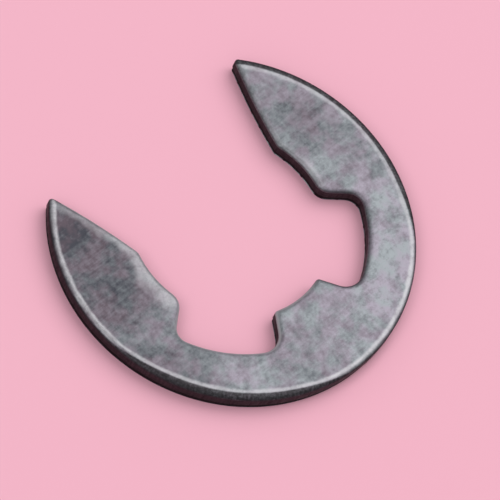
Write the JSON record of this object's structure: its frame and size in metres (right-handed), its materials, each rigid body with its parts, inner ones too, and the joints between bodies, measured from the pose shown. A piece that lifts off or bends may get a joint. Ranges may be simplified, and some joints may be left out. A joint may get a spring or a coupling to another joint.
{
  "type": "e clip",
  "caption": "Flat E-shaped retaining clip that snaps sideways into a shaft's groove, with gripping lugs, relief pockets and two pointed arms.",
  "frame": {"origin": "on the axis of the grooved shaft that the lugs grip, in the plane of the lower face", "axes": "+Z along the shaft's axis, out of the face with the rounded rim; +Y out of the mouth between the arms; +X across the mouth"},
  "size_m": [0.022, 0.0188, 0.0012],
  "materials": {
    "blackened_spring_steel": "black oxide on blanked spring steel, semi-matt, mottled, worn lighter along the rolled rim"
  },
  "bodies": {
    "root": {"e_clip": "blackened_spring_steel"}
  },
  "joints": []
}
